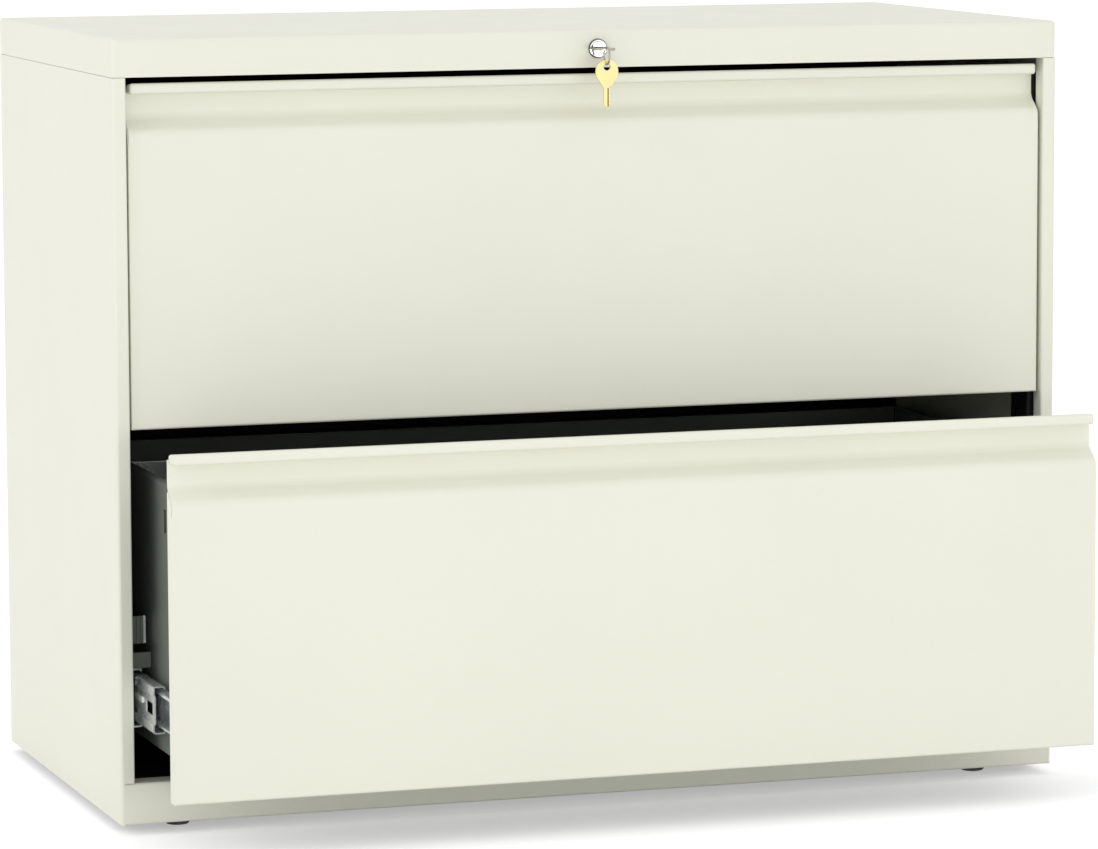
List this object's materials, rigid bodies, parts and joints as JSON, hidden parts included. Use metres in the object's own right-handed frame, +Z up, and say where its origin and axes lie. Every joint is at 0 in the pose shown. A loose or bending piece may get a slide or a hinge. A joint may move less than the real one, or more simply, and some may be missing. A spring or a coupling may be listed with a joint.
{
  "type": "lateral filing cabinet",
  "caption": "Low wide lateral filing cabinet with stacked drawers on telescoping ball-bearing slides, full-width formed pulls, a key lock in the top edge and levelling glides.",
  "frame": {"origin": "on the floor, under the middle of the box around the part with its lower drawer part way open", "axes": "+X along the front to the right of someone facing the drawers, +Y from the drawer fronts to the back, +Z up"},
  "size_m": [0.9144, 0.5922, 0.7207],
  "materials": {
    "putty_paint": "semi-gloss warm off-white paint",
    "drawer_paint": "satin dark grey paint",
    "black_paint": "satin black paint",
    "zinc": "bright zinc plate",
    "raw_steel": "plain rolled steel",
    "chrome": "polished chrome",
    "key_steel": "nickel plate",
    "black_plastic": "moulded black plastic"
  },
  "bodies": {
    "case": {"left_side_panel": "putty_paint", "right_side_panel": "putty_paint", "back_panel": "putty_paint", "top_cap": "putty_paint", "base_front_rail": "putty_paint", "bottom_pan": "black_paint", "front_base_channel": "black_paint", "rear_base_channel": "black_paint", "counterweight": "raw_steel", "front_left_upright": "black_paint", "front_right_upright": "black_paint", "rear_left_upright": "black_paint", "rear_right_upright": "black_paint", "lock_housing": "chrome", "lock_nut": "zinc", "upper_left_cabinet_slide": "zinc", "upper_right_cabinet_slide": "zinc", "lower_left_cabinet_slide": "zinc", "lower_right_cabinet_slide": "zinc"},
    "upper_drawer": {"upper_drawer_head": "putty_paint", "upper_drawer_pan": "drawer_paint", "upper_drawer_left_side": "drawer_paint", "upper_drawer_right_side": "drawer_paint", "upper_front_hang_rail": "zinc", "upper_rear_hang_rail": "zinc", "upper_left_drawer_slide": "zinc", "upper_right_drawer_slide": "zinc"},
    "upper_middle_slides": {"upper_left_middle_slide": "zinc", "upper_right_middle_slide": "zinc"},
    "upper_outer_cages": {"upper_left_outer_cage": "zinc", "upper_right_outer_cage": "zinc"},
    "upper_inner_cages": {"upper_left_inner_cage": "zinc", "upper_right_inner_cage": "zinc"},
    "lower_drawer": {"lower_drawer_head": "putty_paint", "lower_drawer_pan": "drawer_paint", "lower_drawer_left_side": "drawer_paint", "lower_drawer_right_side": "drawer_paint", "lower_front_hang_rail": "zinc", "lower_rear_hang_rail": "zinc", "lower_left_drawer_slide": "zinc", "lower_right_drawer_slide": "zinc"},
    "lower_middle_slides": {"lower_left_middle_slide": "zinc", "lower_right_middle_slide": "zinc"},
    "lower_outer_cages": {"lower_left_outer_cage": "zinc", "lower_right_outer_cage": "zinc"},
    "lower_inner_cages": {"lower_left_inner_cage": "zinc", "lower_right_inner_cage": "zinc"},
    "lock_plug": {"lock_plug": "chrome", "lock_cam": "zinc"},
    "lock_link": {"lock_link_bar": "zinc"},
    "interlock": {"interlock_bar": "zinc"},
    "key": {"key_in_lock": "key_steel"},
    "ring": {"key_ring": "key_steel"},
    "front_left_glide": {"front_left_glide": "black_plastic"},
    "front_right_glide": {"front_right_glide": "black_plastic"},
    "rear_left_glide": {"rear_left_glide": "black_plastic"},
    "rear_right_glide": {"rear_right_glide": "black_plastic"}
  },
  "joints": [
    {"name": "upper_drawer_slide", "type": "slide", "parent": "case", "child": "upper_drawer", "axis": [0, -1, 0], "range_m": [0, 0.4]},
    {"name": "upper_middle_slides", "type": "slide", "parent": "case", "child": "upper_middle_slides", "axis": [0, -1, 0], "range_m": [0, 0.2]},
    {"name": "upper_outer_cages", "type": "slide", "parent": "case", "child": "upper_outer_cages", "axis": [0, -1, 0], "range_m": [0, 0.1]},
    {"name": "upper_inner_cages", "type": "slide", "parent": "case", "child": "upper_inner_cages", "axis": [0, -1, 0], "range_m": [0, 0.3]},
    {"name": "lower_drawer_slide", "type": "slide", "parent": "case", "child": "lower_drawer", "axis": [0, -1, 0], "range_m": [-0.14, 0.26]},
    {"name": "lower_middle_slides", "type": "slide", "parent": "case", "child": "lower_middle_slides", "axis": [0, -1, 0], "range_m": [-0.07, 0.13]},
    {"name": "lower_outer_cages", "type": "slide", "parent": "case", "child": "lower_outer_cages", "axis": [0, -1, 0], "range_m": [-0.035, 0.065]},
    {"name": "lower_inner_cages", "type": "slide", "parent": "case", "child": "lower_inner_cages", "axis": [0, -1, 0], "range_m": [-0.105, 0.195]},
    {"name": "lock_turn", "type": "hinge", "parent": "case", "child": "lock_plug", "pos_m": [0, -0.1611, 0.7034], "axis": [0, 1, 0], "range_deg": [0, 90.05]},
    {"name": "lock_link", "type": "slide", "parent": "case", "child": "lock_link", "axis": [-1, 0, 0], "range_m": [0, 0.01414]},
    {"name": "interlock_drop", "type": "slide", "parent": "case", "child": "interlock", "axis": [0, 0, -1], "range_m": [0, 0.00601]},
    {"name": "key_withdraw", "type": "slide", "parent": "lock_plug", "child": "key", "axis": [0, -1, 0], "range_m": [0, 0.022]},
    {"name": "ring_turn", "type": "hinge", "parent": "key", "child": "ring", "pos_m": [0, -0.18665, 0.69787], "axis": [1, 0, 0], "range_deg": [-80, 15]},
    {"name": "front_left_glide_turn", "type": "hinge", "parent": "case", "child": "front_left_glide", "pos_m": [-0.3942, -0.1171, 0], "axis": [0, 0, 1], "continuous": true},
    {"name": "front_right_glide_turn", "type": "hinge", "parent": "case", "child": "front_right_glide", "pos_m": [0.3942, -0.1171, 0], "axis": [0, 0, 1], "continuous": true},
    {"name": "rear_left_glide_turn", "type": "hinge", "parent": "case", "child": "rear_left_glide", "pos_m": [-0.3942, 0.2521, 0], "axis": [0, 0, 1], "continuous": true},
    {"name": "rear_right_glide_turn", "type": "hinge", "parent": "case", "child": "rear_right_glide", "pos_m": [0.3942, 0.2521, 0], "axis": [0, 0, 1], "continuous": true}
  ],
  "couplings": [
    {"joint": "upper_middle_slides", "follows": "upper_drawer_slide", "ratio": 0.5},
    {"joint": "upper_outer_cages", "follows": "upper_drawer_slide", "ratio": 0.25},
    {"joint": "upper_inner_cages", "follows": "upper_drawer_slide", "ratio": 0.75},
    {"joint": "lower_middle_slides", "follows": "lower_drawer_slide", "ratio": 0.5},
    {"joint": "lower_outer_cages", "follows": "lower_drawer_slide", "ratio": 0.25},
    {"joint": "lower_inner_cages", "follows": "lower_drawer_slide", "ratio": 0.75},
    {"joint": "lock_turn", "follows": "lock_link", "rad_per_m": 111.07},
    {"joint": "interlock_drop", "follows": "lock_link", "ratio": 0.42427}
  ]
}
